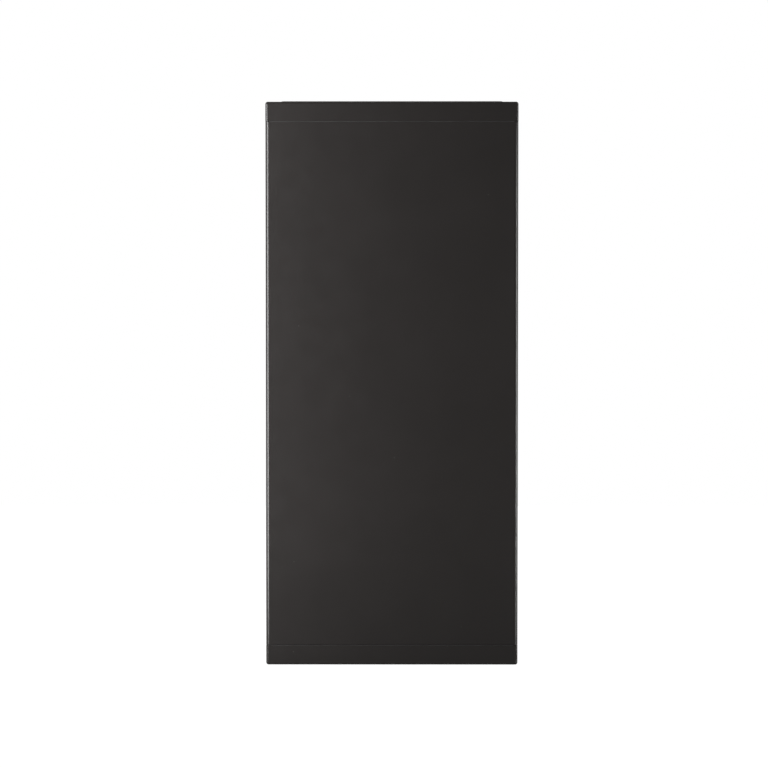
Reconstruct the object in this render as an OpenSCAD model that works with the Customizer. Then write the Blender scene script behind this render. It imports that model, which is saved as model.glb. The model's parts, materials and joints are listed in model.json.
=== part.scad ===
// Wall battery unit: a slim tall steel cabinet that hangs on a wall bracket and holds four
// modules of lithium iron phosphate cells, with its electronics and cable glands at the bottom.
// Frame: X to the right seen from the front, Y into the wall, Z up. The origin is the centre of
// the wall bracket's four bolt slots, on the wall plane.

/* [Enclosure] */
// Width across the front cover and the end caps
unit_w = 510; // [508:1:514]
// Height over the bottom cap and the top plate
unit_h = 1140; // [1136:1:1160]
// Depth from the wall to the front face
unit_d = 190; // [189:1:200]
// Height of each end cap
cap_h = 40; // [38:1:41]
// Radius of the rounded edges of the end caps
cap_r = 5; // [3:0.5:6]
// Outer bend radius of the front cover's upright edges
cover_r = 7; // [4:0.5:8]
// Depth that the front cover wraps back along each side
wrap_d = 70; // [50:1:70]
// Shadow gap between the front cover and the bottom cap
gap_low = 0.8; // [0.6:0.1:3]
// Shadow gap between the front cover and the top cap
gap_top = 0.5; // [0.4:0.1:2]
// Width of the raised plate on the top cap
plate_w = 446; // [420:1:470]

/* [Battery modules] */
// Thickness of one cell, along the row
cell_t = 36; // [34:0.5:36]
// Width of one cell, from front to back
cell_w = 130; // [120:1:130]
// Height of one cell without its terminals
cell_h = 200; // [190:1:200]
// Distance from one module shelf to the next
shelf_pitch = 222; // [221:1:223]

/* [Wall bracket] */
// Sideways distance between the bolt slots: one stud spacing
bolt_x = 406.4; // [380:0.1:406.4]
// Upright distance between the bolt slots
bolt_z = 520; // [500:5:540]
// Length of each bolt slot
slot_l = 30; // [20:1:30]
// Half the width of each bolt slot
slot_r = 4.5; // [3.5:0.5:5.5]

/* [Controls] */
// Swing of the breaker lever between on and off, in degrees
lever_swing = 50; // [40:1:54]
// Diameter of the power button
button_d = 14; // [12:0.5:15]

/* [Hidden] */
$fn = 48;
CELLS = 12;
MODULES = [1, 2, 3, 4];

// Sheet thicknesses and clearances
sheet = 2;
cover_t = 1.5;
cap_t = 3;
plate_t = 1.5;
bracket_t = 3;
side_fit = 0.5;
wall_gap = 20;
seal_t = 6.5;

// Main planes
x_side = unit_w / 2;
x_wall = x_side - cover_t - side_fit;
x_in = x_wall - sheet;
y_front = -unit_d;
y_flange = y_front + cover_t + seal_t;
y_rear = -wall_gap;
cap_d = unit_d - wall_gap;
cap_y = y_front + cap_d / 2;
z_top = unit_h / 2;
z_low = -unit_h / 2;
z_deck = z_top - plate_t - cap_h;
z_base = z_low + cap_h;
x_open = 232;
side_y = -70;

// Module rows
cell_gap = 0.5;
row_w = CELLS * cell_t + (CELLS - 1) * cell_gap;
end_t = 8;
x_end = row_w / 2 + end_t;
cells_y = -97;
cells_front = cells_y - cell_w / 2;
cells_back = cells_y + cell_w / 2;
shelf_1 = z_base + 168;
shelf_front = -178;
strap_z = [35, 120];
strap_h = 16;
post_y = 40;
terminal_x = 190;
foot_x = 216;
foot_y = cells_front - 7;
riser_x = 239;

// Switch pocket in the right side wall
pocket_y = [-110, -30];
pocket_z = [z_base + 11.5, z_base + 151.5];
pocket_t = 2;
pocket_floor = x_wall - 28;
pin_x = x_wall - 2.7;
pin_z = pocket_z[1] - 6.5;
pin_r = 1.5;
flap_t = 2.6;
breaker_y = -86;
breaker_z = z_base + 82;
lever_x = pocket_floor - 1;
button_yz = [-48, z_base + 52];
lights_y = -48;
socket_y = -54;
socket_z = z_base + 27;

// Grips, screws, cover studs, vent and lifting threads
grip_z = [-245, 405];
grip_size = [84, 38];
bezel_w = 6;
screw_r = 2.5;
cap_screw_x = 244;
cap_screw_y = [-168, -36];
SHELF_SCREWS = [-95, -50];
stud_x = 237.5;
stud_z = [-480, -160, 160, 480];
vent_z = z_base + 90;
lift_x = 180;

// Wall hook: the lip stands up from the bracket and the rail drops over it
lip_top = bolt_z / 2 + 56;
lock_z = -bolt_z / 2 + 27;

// Glands: [x, size against an M32 gland]
GLANDS = [[-120, 1], [-50, 1], [20, 0.78], [75, 0.78]];
gland_y = -105;
entry_x = -5;
gland_r = 16;
seal_r = 9;
earth_x = 150;

// Electronics bay: everything stands on the front face of an upright tray
tray_y = -52;
tray_x = [-238, 145];
gear_z = z_base + 84;
board_x = [-228, -122];
contactor_x = [-85, -15];
contactor_stud = 17;
fuse_x = 57;
fuse_stud = 34;
sensor_x = 25;
link_y = tray_y - 61;
link_t = 3;
lug_l = 19;
strip_x = [-100, 142];
strip_z = z_base + 11;
strip_h = 24;
wire_in = 10;

// High-voltage leads: the stack's two ends, and the run through contactors, breaker and strip.
// The heights along all routes are measured from the base of the chassis.
lead_r = 3.2;
lead_y = cells_front - 7.5;
STACK_START = [
    [-terminal_x, lead_y, 336], [-190, -169.5, 230], [-190, -169.5, 165],
    [-186, -166, 145], [-150, -150, 138], [-110, -125, 146], [-91, -117, 141],
    [-85, -116, 131], [-85, -116, 121]
];
STACK_END = [
    [-204.2, lead_y, shelf_z(4) - z_base + 182], [-218, -169.5, 1016], [-234, -168, 1008],
    [-239, -168, 990], [-239, -168, 630], [-239, -168, 170], [-236, -165, 154], [-215, -158, 147],
    [-160, -150, 151], [-60, -142, 152], [20, -130, 157], [50, -118, 156],
    [57, -116, 147], [57, -116, 138]
];
TO_BREAKER_PLUS = [
    [-15, -116, 121], [-15, -116, 130], [-6, -123, 140], [20, -136, 142], [60, -143, 138],
    [120, -135, 139], [166, -114, 144], [189, -99, 143], [195, -95, 134], [195, -95, 124],
    [195, -95, 113]
];
TO_BREAKER_MINUS = [
    [-85, -116, 47], [-85, -116, 39], [-70, -124, 29], [-20, -130, 27], [60, -130, 29],
    [118, -120, 40], [140, -105, 70], [143, -92, 105], [153, -83, 134], [172, -78, 146],
    [188, -77, 144], [195, -77, 135], [195, -77, 125], [195, -77, 113]
];
TO_STRIP_PLUS = [
    [195, -95, 51], [195, -95, 36], [184, -95, 24], [160, -92, 22], [136, -84, 36],
    [120, -72, 49], [113, -67, 46], [112, -66, 37], [112, -66, 26]
];
TO_STRIP_MINUS = [
    [195, -77, 51], [195, -77, 38], [184, -73, 26], [165, -69, 28], [147, -66, 42],
    [137, -66, 48], [132, -66, 40], [132, -66, 26]
];

// Signal looms: down the stack into the main board, and from there to the service sockets
loom_x = -60;
loom_r = 2.2;
STACK_LOOM = [
    [loom_x, cells_front - 10, 318], [-60, -172, 230], [-60, -172, 158],
    [-64, -168, 140], [-85, -145, 128], [-115, -118, 114], [-128, -96, 106], [-129, -77.2, 106]
];
SOCKET_LOOM = [
    [-129, -77.2, 34], [-128, -95, 32], [-112, -128, 23], [-60, -140, 17], [60, -143, 15],
    [140, -138, 12], [178, -112, 11], [196, -78, 11], [200, -60, 17], [204, -54, 25],
    [208.8, -54, 27]
];

// ---- Shared shapes ----

function shelf_z(k) = shelf_1 + (k - 1) * shelf_pitch;

// Points of a smooth curve through the route, with the given steps in each stretch
function spline(p, steps) = [
    for (i = [0 : len(p) - 2], s = [0 : steps - 1])
        let (
            a = p[max(i - 1, 0)],
            b = p[i],
            c = p[i + 1],
            d = p[min(i + 2, len(p) - 1)],
            t = s / steps
        )
        0.5 * (2 * b + (c - a) * t + (2 * a - 5 * b + 4 * c - d) * t * t
            + (3 * b - a - 3 * c + d) * t * t * t),
    p[len(p) - 1]
];

function unit(v) = v / norm(v);

function heading(p, i) = unit(p[min(i + 1, len(p) - 1)] - p[max(i - 1, 0)]);

// The side direction of each ring, carried along the curve so that the tube doesn't twist
function sides(p, i = 0, last = [0, 0, 0]) =
    i == len(p) ? [] :
    let (
        h = heading(p, i),
        guess = i == 0 ? (abs(h[1]) < 0.9 ? [0, 1, 0] : [1, 0, 0]) : last,
        side = unit(guess - (guess * h) * h)
    )
    concat([side], sides(p, i + 1, side));

// A round cable swept along a route whose heights are above the base
module cable(route, r, steps = 4, n = 8) translate([0, 0, z_base]) {
    p = spline(route, steps);
    s = sides(p);
    rings = [
        for (i = [0 : len(p) - 1], j = [0 : n - 1])
            let (up = cross(heading(p, i), s[i]), a = 360 * j / n)
            p[i] + r * (cos(a) * s[i] + sin(a) * up)
    ];
    last = (len(p) - 1) * n;
    tube = [
        for (i = [0 : len(p) - 2], j = [0 : n - 1])
            [i * n + j, (i + 1) * n + j, (i + 1) * n + (j + 1) % n, i * n + (j + 1) % n]
    ];
    first_end = [for (j = [0 : n - 1]) j];
    last_end = [for (j = [n - 1 : -1 : 0]) last + j];
    polyhedron(rings, concat(tube, [first_end, last_end]), convexity = 6);
}

// A box from its lowest corner to its highest
module block(lo, hi) translate(lo) cube(hi - lo);

module x_rod(r, x0, x1, y, z) translate([x0, y, z]) rotate([0, 90, 0]) cylinder(r = r, h = x1 - x0);

module y_rod(r, y0, y1, x, z) translate([x, y1, z]) rotate([90, 0, 0]) cylinder(r = r, h = y1 - y0);

module z_rod(r, z0, z1, x, y) translate([x, y, z0]) cylinder(r = r, h = z1 - z0);

// Both sides of the unit: children at +X, and mirrored at -X
module both_sides() {
    children();
    mirror([1, 0, 0]) children();
}

// Extrudes a YZ outline along X, centred
module along_x(length) rotate([90, 0, 90]) linear_extrude(length, center = true) children();

// Extrudes an XZ outline towards the wall, from y0 to y1
module along_y(y0, y1) translate([0, y1, 0]) rotate([90, 0, 0]) linear_extrude(y1 - y0) children();

module rounded_rect(w, d, r) {
    square([w - 2 * r, d], center = true);
    square([w, d - 2 * r], center = true);
    for (x = [-1, 1], y = [-1, 1])
        translate([x * (w / 2 - r), y * (d / 2 - r)]) circle(r);
}

module slot(length, r) {
    square([length - 2 * r, 2 * r], center = true);
    for (x = [-1, 1]) translate([x * (length / 2 - r), 0]) circle(r);
}

// ---- Wall bracket and what hangs on it ----

module wall_bracket() color("dimgray") {
    rail_w = 440;
    shelf_low = bolt_z / 2 + 34;
    difference() {
        union() {
            for (s = [-1, 1])
                block([-rail_w / 2, -bracket_t, s * bolt_z / 2 - 40], [rail_w / 2, 0, s * bolt_z / 2 + 40]);
            both_sides() {
                block([70, -bracket_t, -bolt_z / 2], [110, 0, bolt_z / 2]);
                block([205, -18, lock_z - 10], [208, 0, lock_z + 10]);
            }
            along_x(400) polygon([
                [-bracket_t, shelf_low + 3], [-13, shelf_low + 3], [-13, lip_top],
                [-16, lip_top], [-16, shelf_low], [-bracket_t, shelf_low]
            ]);
        }
        for (x = [-1, 1], z = [-1, 1])
            translate([x * bolt_x / 2, 0, z * bolt_z / 2])
                along_y(-bracket_t - 1, 1) slot(slot_l, slot_r);
        both_sides() x_rod(3.3, 200, 210, -11, lock_z);
    }
}

// Rail on the back of the chassis that drops over the bracket's upturned lip
module hook_rail() color("gray")
    along_x(380) polygon([
        [y_rear, lip_top + 25], [y_rear, lip_top], [-12, lip_top], [-12, lip_top - 14],
        [-9, lip_top - 14], [-9, lip_top + 3], [y_rear + 3, lip_top + 3], [y_rear + 3, lip_top + 25]
    ]);

module bumpers() color("black")
    both_sides() y_rod(14, y_rear, -bracket_t, 40, -bolt_z / 2);

module lock_screws() color("silver")
    both_sides() {
        x_rod(5, 208, 212, -11, lock_z);
        x_rod(3, 194, 208, -11, lock_z);
    }

// ---- Enclosure ----

module hat_section(w, d) {
    slope = 6;
    polygon([
        [-w / 2, 0], [-w / 2 + slope, d], [w / 2 - slope, d], [w / 2, 0],
        [w / 2 - sheet, 0], [w / 2 - slope - sheet, d - sheet],
        [-w / 2 + slope + sheet, d - sheet], [-w / 2 + sheet, 0]
    ]);
}

module at_cap_screws() for (x = [-1, 1], y = cap_screw_y)
    translate([x * cap_screw_x, y, 0]) children();

module at_gland_screws() for (x = [-1, 0, 1], y = [-1, 1])
    translate([entry_x + x * 192, gland_y + y * 44, 0]) children();

module rear_chassis() color("#2b2b2b") difference() {
    union() {
        difference() {
            block([-x_wall, y_flange, z_base], [x_wall, y_rear, z_deck]);
            block([-x_in, y_flange + sheet, z_base + sheet], [x_in, y_rear - sheet, z_deck - sheet]);
            block([-x_open, y_flange - 1, z_base + 19], [x_open, y_flange + sheet + 1, z_deck - 19]);
        }
        both_sides() {
            // Stiffeners below and above the hook rail
            translate([160, y_rear, -480]) linear_extrude(bolt_z / 2 + 508) hat_section(50, 9);
            translate([160, y_rear, lip_top + 34]) linear_extrude(140) hat_section(50, 9);
            block([201, y_rear, lock_z - 10], [204.5, -5, lock_z + 10]);
            z_rod(9, z_deck - sheet, z_top - 7, lift_x, cap_y);
        }
    }
    // Gland opening in the floor
    block([entry_x - 185, gland_y - 40, z_base - 1], [entry_x + 185, gland_y + 40, z_base + sheet + 1]);
    // Windows for the grips, the switch pocket and the vent
    both_sides() for (z = grip_z)
        block(
            [x_in - 1, side_y - grip_size[0] / 2 - 1, z - grip_size[1] / 2 - 1],
            [x_wall + 1, side_y + grip_size[0] / 2 + 1, z + grip_size[1] / 2 + 1]
        );
    block([x_in - 1, pocket_y[0], pocket_z[0]], [x_wall + 1, pocket_y[1], pocket_z[1]]);
    x_rod(12.3, -x_wall - 1, -x_in + 1, side_y, vent_z);
    both_sides() {
        for (z = stud_z) y_rod(4, y_flange - 1, y_flange + sheet + 1, stud_x, z);
        for (k = MODULES, y = SHELF_SCREWS) x_rod(2.6, x_in - 1, x_wall + 1, y, shelf_z(k) + 7);
        x_rod(3.3, 200, 206, -11, lock_z);
        z_rod(4.25, z_top - 32, z_top, lift_x, cap_y);
    }
    at_cap_screws() for (z = [z_base, z_deck - sheet]) z_rod(2.6, z - 1, z + sheet + 1, 0, 0);
    at_gland_screws() z_rod(2.6, z_base - 1, z_base + sheet + 1, 0, 0);
}

// Block with all its outer edges rounded but those of the flat side at z = 0
module soft_block(w, d, h, r) hull()
    for (x = [-1, 1], y = [-1, 1])
        translate([x * (w / 2 - r), y * (d / 2 - r), 0]) {
            cylinder(r = r, h = h - r, $fn = 32);
            translate([0, 0, h - r]) sphere(r, $fn = 32);
        }

// Hollow of an end cap, seen with its open side at z = 0: a lip turns in along the open side
module cap_hollow(lip) {
    block([-x_side + cap_t, y_front + cap_t, lip], [x_side - cap_t, y_rear - cap_t, cap_h - cap_t]);
    block([-x_side + 16, y_front + 16, -1], [x_side - 16, y_rear - 14, lip + 1]);
}

module cap_bosses() at_cap_screws() z_rod(9, 0, 18, 0, 0);

module cap_screw_holes() at_cap_screws() z_rod(screw_r + 0.1, -1, 14, 0, 0);

module top_cap() color("#333231") difference() {
    translate([0, 0, z_deck]) difference() {
        translate([0, cap_y, 0]) soft_block(unit_w, cap_d, cap_h, cap_r);
        difference() {
            cap_hollow(2);
            cap_bosses();
        }
        cap_screw_holes();
    }
    both_sides() z_rod(13, z_deck + cap_h - cap_t - 1, z_deck + cap_h + 1, lift_x, cap_y);
    at_plate_screws() z_rod(2.6, z_deck + cap_h - cap_t - 1, z_deck + cap_h + 1, 0, 0);
}

module at_plate_screws() for (x = [-1, 0, 1], y = [-1, 1])
    translate([x * 208, cap_y + y * 64, 0]) children();

module top_plate() color("#2d2c2b") difference() {
    translate([0, cap_y, z_top - plate_t]) linear_extrude(plate_t) rounded_rect(plate_w, 150, 6);
    both_sides() z_rod(13, z_top - plate_t - 1, z_top + 1, lift_x, cap_y);
    at_plate_screws() {
        z_rod(2.6, z_top - plate_t - 1, z_top + 1, 0, 0);
        translate([0, 0, z_top - plate_t]) cylinder(r1 = 2.6, r2 = 4.4, h = plate_t + 0.1);
    }
}

// Countersunk socket screws
module top_plate_screws() color("silver") at_plate_screws() difference() {
    union() {
        translate([0, 0, z_top - plate_t]) cylinder(r1 = 2.5, r2 = 4, h = plate_t - 0.2);
        z_rod(screw_r, z_top - 14, z_top - plate_t + 0.1, 0, 0);
    }
    z_rod(1.6, z_top - plate_t, z_top + 1, 0, 0, $fn = 6);
}

// Rubber plugs over the two lifting threads
module lifting_plugs() color("black") both_sides() {
    z_rod(12.6, z_top - plate_t - cap_t, z_top - 0.6, lift_x, cap_y);
    z_rod(4, z_top - plate_t - cap_t - 4, z_top - plate_t - cap_t, lift_x, cap_y);
}

// Skirt that hides the glands and stays open below for the cables
module bottom_cap() color("#333231") translate([0, 0, z_base]) mirror([0, 0, 1]) difference() {
    translate([0, cap_y, 0]) soft_block(unit_w, cap_d, cap_h, cap_r);
    difference() {
        cap_hollow(2);
        cap_bosses();
    }
    cap_screw_holes();
    block([-x_side + 20, y_front + 18, cap_h - cap_t - 1], [x_side - 20, y_rear - 18, cap_h + 1]);
}

// Outline of the front cover seen from above: a U with bent corners
module cover_outline() difference() {
    translate([0, y_front + unit_d / 2]) rounded_rect(unit_w, unit_d, cover_r);
    translate([0, y_front + cover_t + unit_d / 2])
        rounded_rect(unit_w - 2 * cover_t, unit_d, cover_r - cover_t);
    translate([-x_side - 1, y_front + wrap_d]) square([unit_w + 2, unit_d]);
}

module front_cover() color("#373533") {
    low = z_base + gap_low;
    high = z_deck - gap_top;
    translate([0, 0, low]) linear_extrude(high - low) cover_outline();
    for (z = [low, high - cover_t])
        block([-x_side + cover_r, y_front + cover_t, z], [x_side - cover_r, y_flange - 1, z + cover_t]);
}

module cover_studs() color("silver")
    both_sides() for (z = stud_z) {
        y_rod(2.4, y_front + cover_t, y_flange + 9, stud_x, z);
        y_rod(4.5, y_front + cover_t, y_front + cover_t + 1.5, stud_x, z);
    }

module cover_clips() color("whitesmoke")
    both_sides() for (z = stud_z) difference() {
        union() {
            y_rod(5, y_flange - 1, y_flange, stud_x, z);
            y_rod(3.9, y_flange, y_flange + 7, stud_x, z);
        }
        y_rod(2.6, y_flange - 2, y_flange + 8, stud_x, z);
    }

module cover_seal() color("black") {
    inner = [2 * 243.2, z_deck - z_base - 22];
    translate([0, 0, (z_deck + z_base) / 2])
        along_y(y_front + cover_t + 0.3, y_flange) difference() {
            square(inner + [11.4, 11.4], center = true);
            square(inner, center = true);
        }
}

// ---- Bottom entry ----

module gland_plate() color("silver") difference() {
    translate([entry_x, gland_y, z_base - 3]) linear_extrude(3) rounded_rect(400, 104, 4);
    for (g = GLANDS) z_rod(gland_r * g[1], z_base - 4, z_base + 1, g[0], gland_y);
    z_rod(4.2, z_base - 4, z_base + 1, earth_x, gland_y);
    at_gland_screws() z_rod(2.6, z_base - 4, z_base + 1, 0, 0);
}

module gland_body(k) difference() {
    union() {
        z_rod(15.9 * k, z_base - 3, z_base + 8, 0, 0);
        z_rod(20.5 * k, z_base - 9, z_base - 3, 0, 0, $fn = 6);
        z_rod(22 * k, z_base, z_base + 5, 0, 0, $fn = 6);
        z_rod(15 * k, z_base - 12, z_base - 9, 0, 0);
    }
    z_rod(10.8 * k, z_base - 13, z_base + 9, 0, 0);
}

module gland_seal(k) difference() {
    z_rod(13.5 * k, z_base - 28, z_base - 12, 0, 0);
    z_rod(seal_r * k, z_base - 29, z_base - 11, 0, 0);
}

module gland_nut(k) difference() {
    union() {
        z_rod(20 * k, z_base - 27, z_base - 12, 0, 0, $fn = 6);
        z_rod(16 * k, z_base - 34, z_base - 27, 0, 0);
    }
    z_rod(13.6 * k, z_base - 28.1, z_base - 11, 0, 0);
    z_rod(10.8 * k, z_base - 35, z_base - 28, 0, 0);
}

module gland_bodies() color("#202020") for (g = GLANDS) translate([g[0], gland_y]) gland_body(g[1]);

module gland_seals() color("black") for (g = GLANDS) translate([g[0], gland_y]) gland_seal(g[1]);

module gland_nuts() color("#202020") for (g = GLANDS) translate([g[0], gland_y]) gland_nut(g[1]);

module earth_stud() color("gold") {
    z_rod(4, z_base - 26, z_base + 6, earth_x, gland_y);
    z_rod(8, z_base - 9, z_base - 3, earth_x, gland_y, $fn = 6);
    z_rod(8, z_base, z_base + 5, earth_x, gland_y, $fn = 6);
}

// ---- Side fittings ----

// Moulded finger recess at height z in the right side wall
module grip_cup(z) {
    half_y = grip_size[0] / 2;
    half_z = grip_size[1] / 2;
    translate([0, side_y, z]) difference() {
        union() {
            translate([x_wall, 0, 0]) rotate([90, 0, 90]) linear_extrude(1.4)
                rounded_rect(grip_size[0] + 2 * bezel_w, grip_size[1] + 2 * bezel_w, 6);
            block([x_wall - 21, -half_y, -half_z], [x_wall, half_y, half_z]);
        }
        block([x_wall - 19, -half_y + 2, -half_z + 2], [x_wall + 2, half_y - 2, half_z - 2]);
    }
}

module grip_cups_right() color("#1e1e1e") for (z = grip_z) grip_cup(z);

module grip_cups_left() color("#1e1e1e") mirror([1, 0, 0]) for (z = grip_z) grip_cup(z);

// Low-headed screw whose head sits on the face at z = 0
module case_screw() {
    cylinder(r = 4.5, h = 1.8);
    translate([0, 0, -8]) cylinder(r = screw_r, h = 8);
}

module case_screws() color("#303030") {
    both_sides() for (k = MODULES, y = SHELF_SCREWS)
        translate([x_wall, y, shelf_z(k) + 7]) rotate([0, 90, 0]) case_screw();
    at_cap_screws() {
        translate([0, 0, z_base + sheet]) case_screw();
        translate([0, 0, z_deck - sheet]) mirror([0, 0, 1]) case_screw();
    }
    at_gland_screws() translate([0, 0, z_base - 3]) mirror([0, 0, 1]) case_screw();
}

// Round breather on the left side wall
module pressure_vent() color("#252525") translate([0, side_y, vent_z]) difference() {
    union() {
        x_rod(24, -x_wall - 1.9, -x_wall, 0, 0);
        x_rod(12, -x_wall, -x_in + 10, 0, 0);
        x_rod(18, -x_in, -x_in + 5, 0, 0, $fn = 6);
    }
    for (a = [0 : 30 : 330]) rotate([a, 0, 0]) block([-x_wall - 3, -1.4, 10], [-x_wall - 0.7, 1.4, 20]);
    x_rod(7, -x_wall - 0.5, -x_in + 11, 0, 0);
}

module pocket_window(y, z, half_y, half_z) block(
    [pocket_floor - 1, y - half_y, z - half_z],
    [pocket_floor + pocket_t + 1, y + half_y, z + half_z]
);

function light_z(i) = z_base + 76 + 11 * i;

// Tray behind the side wall that holds the breaker, the button, the lights and the sockets
module switch_pocket() color("#1e1e1e") difference() {
    inner_y = [pocket_y[0] + pocket_t + 0.3, pocket_y[1] - pocket_t - 0.3];
    inner_z = [pocket_z[0] + pocket_t + 0.3, pocket_z[1] - pocket_t - 0.3];
    union() {
        block([x_wall, pocket_y[0] - 6, pocket_z[0] - 6], [x_wall + 1.4, pocket_y[1] + 6, pocket_z[1] + 6]);
        block(
            [pocket_floor, inner_y[0] - pocket_t, inner_z[0] - pocket_t],
            [x_wall, inner_y[1] + pocket_t, inner_z[1] + pocket_t]
        );
    }
    block([pocket_floor + pocket_t, inner_y[0], inner_z[0]], [x_wall + 3, inner_y[1], inner_z[1]]);
    pocket_window(breaker_y, breaker_z, 18.2, 23.2);
    pocket_window(socket_y, socket_z, 17, 8.2);
    x_rod(button_d / 2 + 2.2, pocket_floor - 1, pocket_floor + pocket_t + 1, button_yz[0], button_yz[1]);
    for (i = [0 : 4]) x_rod(2.6, pocket_floor - 1, pocket_floor + pocket_t + 1, lights_y, light_z(i));
    y_rod(pin_r + 0.02, pocket_y[0] + 0.8, pocket_y[1] - 0.8, pin_x, pin_z);
}

// Two-pole breaker: the case stands behind the pocket and its collar comes through the window
module breaker_body() color("#d8d8d4") translate([pocket_floor, breaker_y, breaker_z]) difference() {
    wire_x = -30;
    axle_x = lever_x - pocket_floor;
    union() {
        block([-58, -18, -43], [0, 18, 43]);
        block([0, -18, -23], [7, 18, 23]);
    }
    y_rod(8.2, -14.2, 14.2, axle_x, 0);
    block([axle_x, -14.2, -8.2], [8, 14.2, 8.2]);
    y_rod(2.45, -16.5, 16.5, axle_x, 0);
    for (y = [-9, 9]) {
        z_rod(3.8, 30, 44, wire_x, y);
        z_rod(3.8, -44, -30, wire_x, y);
    }
}

// The two handles, tied by a bar, at the on position
module breaker_lever() color("#202020")
    translate([lever_x, breaker_y, breaker_z]) rotate([0, -lever_swing / 2, 0]) {
        y_rod(7.9, -14, 14, 0, 0);
        y_rod(2.4, -16.2, 16.2, 0, 0);
        for (y = [-9, 9]) block([0, y - 4, -2.5], [17, y + 4, 2.5]);
        block([13, -13, -2.5], [19, 13, 2.5]);
    }

// Clear flap that hangs from its pin over the pocket
module breaker_flap() color("gray", 0.5) {
    y0 = pocket_y[0] + 0.3 + pocket_t + 0.4;
    y1 = pocket_y[1] - 0.3 - pocket_t - 0.4;
    low = pocket_z[0] + 6;
    difference() {
        union() {
            y_rod(3.1, y0, y1, pin_x, pin_z);
            block([pin_x - flap_t / 2, y0, low], [pin_x + flap_t / 2, y1, pin_z]);
            block([pin_x - flap_t / 2, y0 + 20, low], [pin_x + flap_t / 2 + 2, y1 - 20, low + 2.5]);
        }
        y_rod(pin_r + 0.06, y0 - 1, y1 + 1, pin_x, pin_z);
    }
}

module flap_pin() color("silver") y_rod(pin_r, pocket_y[0] + 0.9, pocket_y[1] - 0.9, pin_x, pin_z);

module button_housing() color("silver") translate([0, button_yz[0], button_yz[1]]) difference() {
    union() {
        x_rod(button_d / 2 + 2, pocket_floor - 16, pocket_floor + pocket_t, 0, 0);
        x_rod(button_d / 2 + 4, pocket_floor + pocket_t, pocket_floor + pocket_t + 2, 0, 0);
    }
    x_rod(button_d / 2 + 0.2, pocket_floor - 4, pocket_floor + pocket_t + 3, 0, 0);
}

module power_button() color("#202020")
    x_rod(button_d / 2, pocket_floor - 1.6, pocket_floor + pocket_t + 2.4, button_yz[0], button_yz[1]);

module status_lights() color("lightgreen")
    for (i = [0 : 4]) x_rod(2.5, pocket_floor - 3, pocket_floor + pocket_t + 0.6, lights_y, light_z(i));

// Two network sockets side by side
module comm_sockets() color("#404040") translate([0, socket_y, socket_z]) difference() {
    block([pocket_floor - 16, -16.8, -8], [pocket_floor + pocket_t, 16.8, 8]);
    for (y = [-8.2, 8.2]) {
        block([pocket_floor - 12, y - 6, -5], [pocket_floor + pocket_t + 1, y + 6, 3]);
        block([pocket_floor - 12, y - 3, 3], [pocket_floor + pocket_t + 1, y + 3, 5.5]);
    }
}

// ---- Battery modules ----

// Notches at the front edge of a shelf for the leads and the loom that pass it
module shelf_notches() for (x = [-riser_x, -terminal_x, loom_x, terminal_x])
    block([x - 9, shelf_front - 1, -20], [x + 9, cells_front - 1, 1]);

module module_shelves() color("silver") for (k = MODULES) translate([0, 0, shelf_z(k)]) difference() {
    union() {
        block([-x_in, shelf_front, -2], [x_in, y_rear - sheet, 0]);
        block([-x_in + 20, shelf_front, -15], [x_in - 20, shelf_front + 2, 0]);
        both_sides() block([x_in - 2, -150, 0], [x_in, y_rear - sheet, 14]);
    }
    shelf_notches();
    both_sides() {
        for (y = SHELF_SCREWS) x_rod(2.6, x_in - 3, x_in + 1, y, 7);
        z_rod(3.2, -3, 1, foot_x, foot_y);
    }
}

module cells(k) color("#2f5f9f") for (i = [0 : CELLS - 1])
    translate([(i - (CELLS - 1) / 2) * (cell_t + cell_gap), cells_y, shelf_z(k)]) {
        linear_extrude(cell_h) rounded_rect(cell_t, cell_w, 2.5);
        for (s = [-1, 1]) z_rod(8, cell_h, cell_h + 3, 0, s * post_y);
    }

// Cast end plates with four pockets each and a foot that bolts to the shelf
module end_plates() color("gainsboro") for (k = MODULES) translate([0, 0, shelf_z(k)])
    both_sides() difference() {
        union() {
            block([row_w / 2, cells_front, 0], [x_end, cells_back, cell_h - 4]);
            block([x_end - 21, cells_front - 14, 0], [x_end, cells_front, 5]);
            block([x_end - 4, cells_front - 14, 0], [x_end, cells_front, 22]);
        }
        for (y = [-31, 31], z = [60, 142])
            block([x_end - 4, cells_y + y - 22, z], [x_end + 1, cells_y + y + 22, z + 42]);
        z_rod(3.2, -1, 6, foot_x, foot_y);
    }

// Steel bands round the row of cells and its end plates
module module_straps() color("silver") for (k = MODULES, z = strap_z)
    translate([0, cells_y, shelf_z(k) + z - strap_h / 2]) linear_extrude(strap_h) difference() {
        square([2 * x_end + 2, cell_w + 2], center = true);
        square([2 * x_end, cell_w], center = true);
    }

// Bars that join the cells in series, from one row of terminals to the other in turn
module busbars(k) color("#b87333") translate([0, cells_y, shelf_z(k) + cell_h + 3]) {
    pitch = cell_t + cell_gap;
    for (i = [0 : CELLS - 2])
        translate([(i - (CELLS - 2) / 2) * pitch, (i % 2 == 0 ? 1 : -1) * post_y, 0])
            linear_extrude(1.5) rounded_rect(pitch + 17, 20, 4);
    both_sides()
        translate([(CELLS - 1) / 2 * pitch, -post_y, 0]) linear_extrude(1.5) rounded_rect(17, 20, 4);
}

// Moulded lid over the busbars, with the board carrier at its front
module cell_cover(k) color("#1c1c1c") translate([0, 0, shelf_z(k)]) {
    high = cell_h + 14;
    difference() {
        block([-row_w / 2, cells_front, cell_h], [row_w / 2, cells_back, high]);
        block([-row_w / 2 + 2, cells_front + 2, cell_h - 1], [row_w / 2 - 2, cells_back - 2, high - 2]);
    }
    block([-110, cells_front - 2, 140], [110, cells_front, high]);
}

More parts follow.
